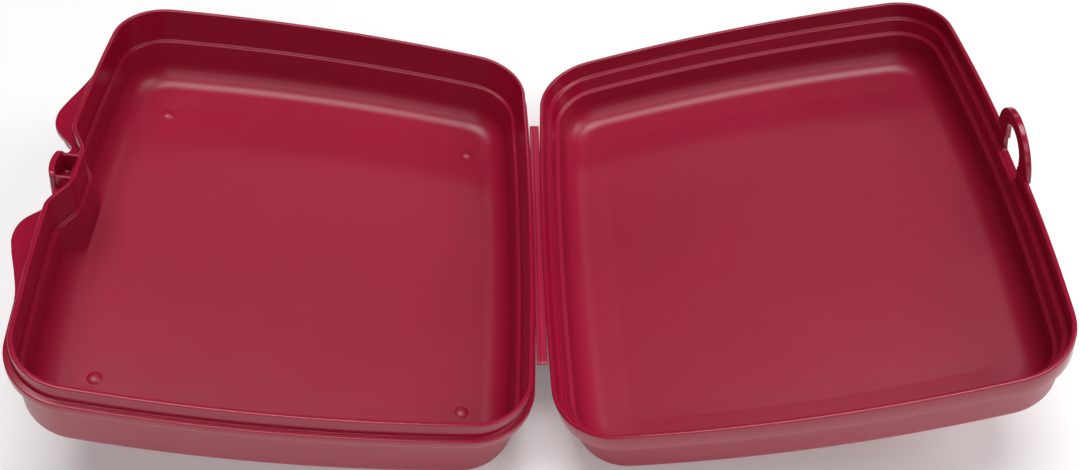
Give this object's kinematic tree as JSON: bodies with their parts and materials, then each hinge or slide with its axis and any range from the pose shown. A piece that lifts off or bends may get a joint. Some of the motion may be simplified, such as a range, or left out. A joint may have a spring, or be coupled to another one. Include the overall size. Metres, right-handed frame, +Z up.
{
  "type": "lunch box",
  "caption": "Hinged clamshell lunch box: two shallow trays joined by a living hinge along the back, with a sealing collar, grip ears and a front tab that snaps over a nose.",
  "frame": {"origin": "centre of the open box's footprint, on the surface it stands on", "axes": "+X from the base tray towards the lid tray, +Y along the hinge, +Z up, with the box open in a shallow V"},
  "size_m": [0.2894, 0.16, 0.0664],
  "materials": {
    "moulding": "satin, fine moulded grain"
  },
  "bodies": {
    "base": {"base_tray": "moulding", "shoulder_flange": "moulding", "sealing_collar": "moulding", "grip_ear_left": "moulding", "grip_ear_right": "moulding", "catch_nose": "moulding", "floor_stud_1": "moulding", "floor_stud_2": "moulding", "floor_stud_3": "moulding", "floor_stud_4": "moulding", "hinge_leaf_base": "moulding"},
    "lid": {"lid_tray": "moulding", "lid_shoulder": "moulding", "lid_skirt": "moulding", "hinge_leaf_lid": "moulding"},
    "latch": {"latch_tab": "moulding"}
  },
  "joints": [
    {"name": "lid_hinge", "type": "hinge", "parent": "base", "child": "lid", "pos_m": [0.00191, 0, 0.02145], "axis": [0, -1, 0], "range_deg": [-25.37, 154.63]},
    {"name": "latch_flex", "type": "hinge", "parent": "lid", "child": "latch", "pos_m": [0.14288, 0, 0.05348], "axis": [0, 1, 0], "range_deg": [-1, 12], "stiffness_Nm_per_rad": 0.6}
  ]
}
